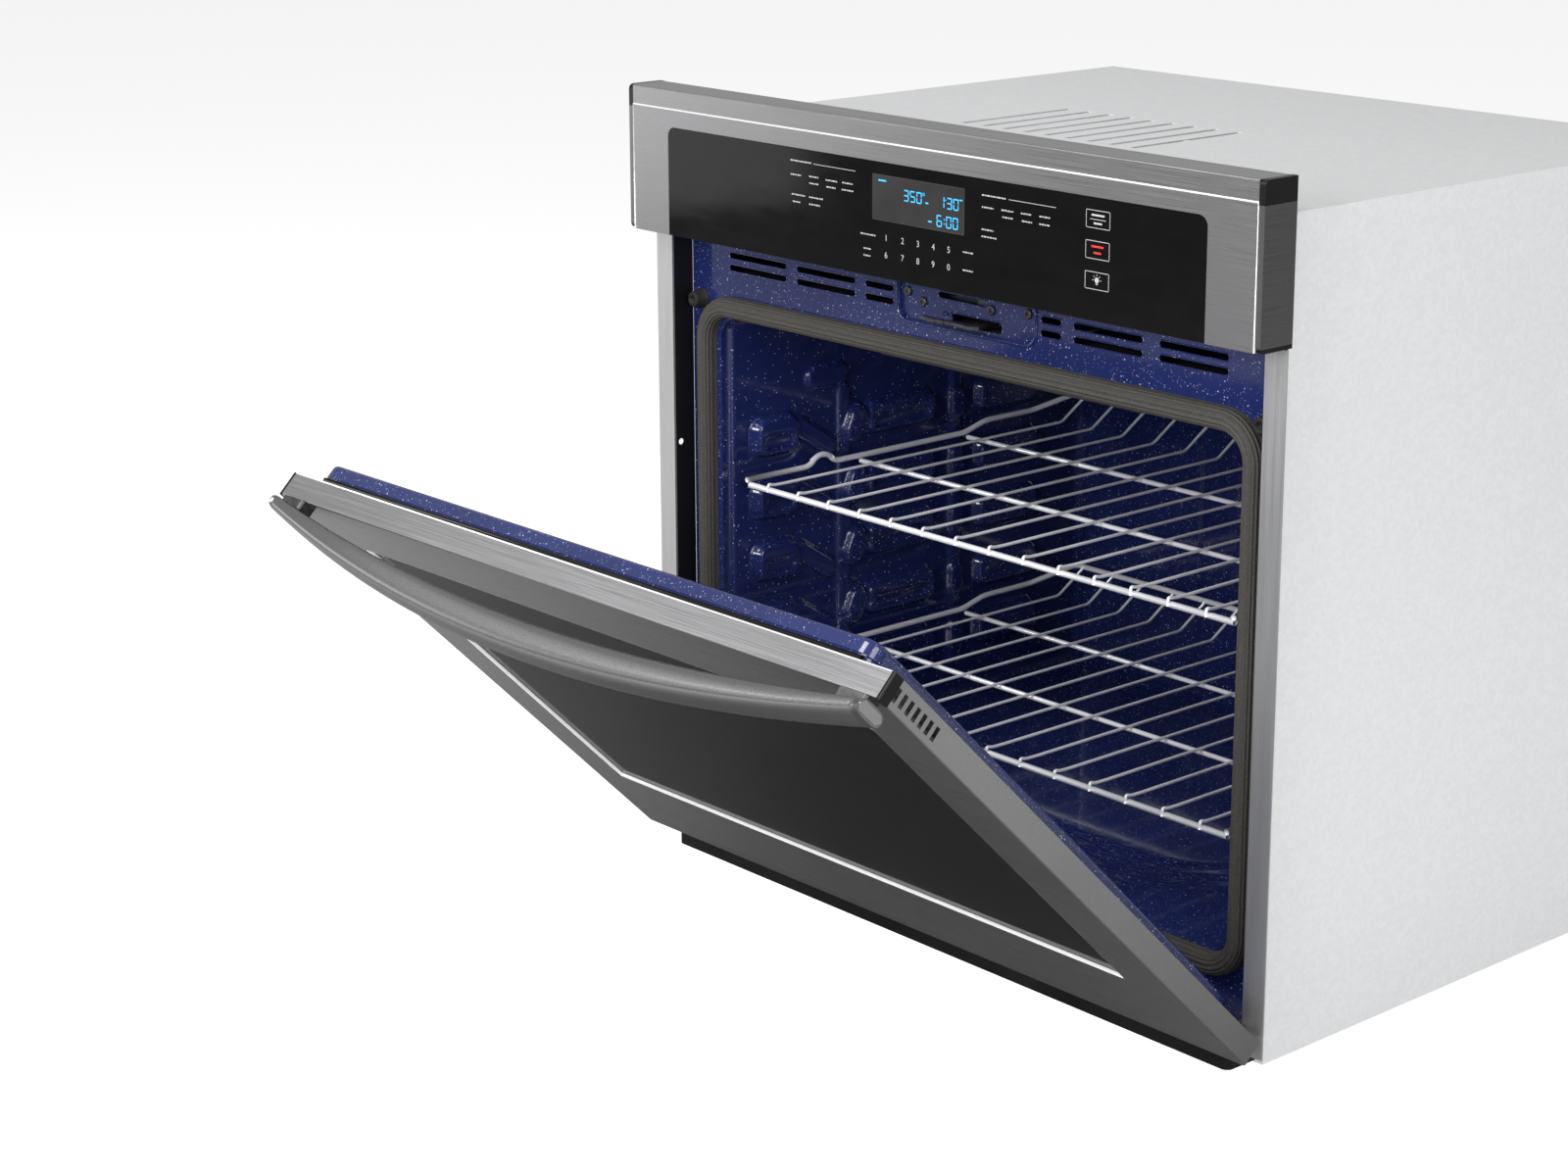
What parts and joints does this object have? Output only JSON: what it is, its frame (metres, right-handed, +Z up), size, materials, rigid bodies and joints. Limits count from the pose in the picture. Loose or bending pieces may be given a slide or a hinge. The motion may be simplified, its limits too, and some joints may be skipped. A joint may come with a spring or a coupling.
{
  "type": "wall oven",
  "caption": "Built-in single wall oven with a drop-down glazed door, touch control panel, enamelled cavity, sliding wire racks, cooling blower and motor door latch.",
  "frame": {"origin": "middle of the base's front edge, in the plane of the cabinet's face", "axes": "+X to the right seen from the front, +Y into the cabinet, +Z up; the door is on the -Y side"},
  "size_m": [0.758, 1.0565, 0.733],
  "materials": {
    "stainless": "brushed",
    "handle_metal": "brushed",
    "galvanised": "matt zinc coated",
    "porcelain": "glossy speckled enamel",
    "touch_glass": "glossy",
    "tinted_glass": "glossy",
    "clear_glass": "glossy",
    "gasket": "woven glass fibre and silicone",
    "black_trim": "satin",
    "black_plastic": "satin",
    "rubber": "matt",
    "rack_wire": "bright",
    "element": "oxidised",
    "steel": "plain",
    "dark_steel": "satin",
    "circuit": "satin",
    "module": "satin",
    "ceramic": "matt",
    "blanket": "glass wool",
    "motor": "satin",
    "screw": "zinc plated"
  },
  "bodies": {
    "chassis": {"base_pan": "galvanised", "side_panel_right": "galvanised", "side_panel_left": "galvanised", "top_panel": "galvanised", "rear_panel": "galvanised", "rear_screws": "screw", "side_trim_right": "stainless", "side_trim_left": "stainless", "bottom_trim": "black_trim", "front_plate": "porcelain", "front_plate_screws": "dark_steel", "door_bumpers": "rubber", "door_gasket": "gasket", "cavity_right_wall": "porcelain", "cavity_left_wall": "porcelain", "cavity_back_wall": "porcelain", "cavity_top": "porcelain", "cavity_floor": "porcelain", "insulation_wrap": "blanket", "insulation_rear": "blanket", "insulation_bottom": "blanket", "broil_element": "element", "bake_element": "element", "temperature_sensor": "steel", "lamp_socket": "ceramic", "lamp_bulb": "clear_glass", "lamp_lens": "clear_glass", "air_duct": "galvanised", "fan_housing": "galvanised", "fan_motor": "motor", "power_board": "circuit", "terminal_block": "ceramic", "junction_box": "galvanised", "control_panel": "stainless", "end_cap_right": "black_plastic", "end_cap_left": "black_plastic", "control_glass": "touch_glass", "display_module": "module", "control_board": "circuit", "latch_bracket": "galvanised", "latch_motor": "motor", "hinge_arms": "steel", "hinge_receivers": "galvanised"},
    "door": {"door_skin": "stainless", "door_corner_caps": "black_plastic", "door_liner": "porcelain", "door_insulation": "blanket", "outer_glass": "tinted_glass", "middle_glass": "clear_glass", "inner_glass": "clear_glass", "window_frame": "galvanised", "handle_bar": "handle_metal", "handle_feet": "dark_steel", "hinge_bodies": "steel", "hinge_pins": "steel", "hinge_springs": "steel"},
    "upper_rack": {"upper_rack": "rack_wire"},
    "lower_rack": {"lower_rack": "rack_wire"},
    "blower_wheel": {"fan_wheel": "steel"},
    "latch": {"latch_hook": "dark_steel"}
  },
  "joints": [
    {"name": "door_hinge", "type": "hinge", "parent": "chassis", "child": "door", "pos_m": [0, -0.008, 0.041], "axis": [1, 0, 0], "range_deg": [-45.2, 44.8]},
    {"name": "upper_rack_slide", "type": "slide", "parent": "chassis", "child": "upper_rack", "axis": [0, -1, 0], "range_m": [0, 0.3]},
    {"name": "lower_rack_slide", "type": "slide", "parent": "chassis", "child": "lower_rack", "axis": [0, -1, 0], "range_m": [0, 0.125]},
    {"name": "blower_spin", "type": "hinge", "parent": "chassis", "child": "blower_wheel", "pos_m": [-0.05, 0.25, 0.64], "axis": [1, 0, 0], "continuous": true},
    {"name": "latch_turn", "type": "hinge", "parent": "chassis", "child": "latch", "pos_m": [0.024, 0.044, 0.562], "axis": [0, 0, 1], "range_deg": [0, 25]}
  ]
}
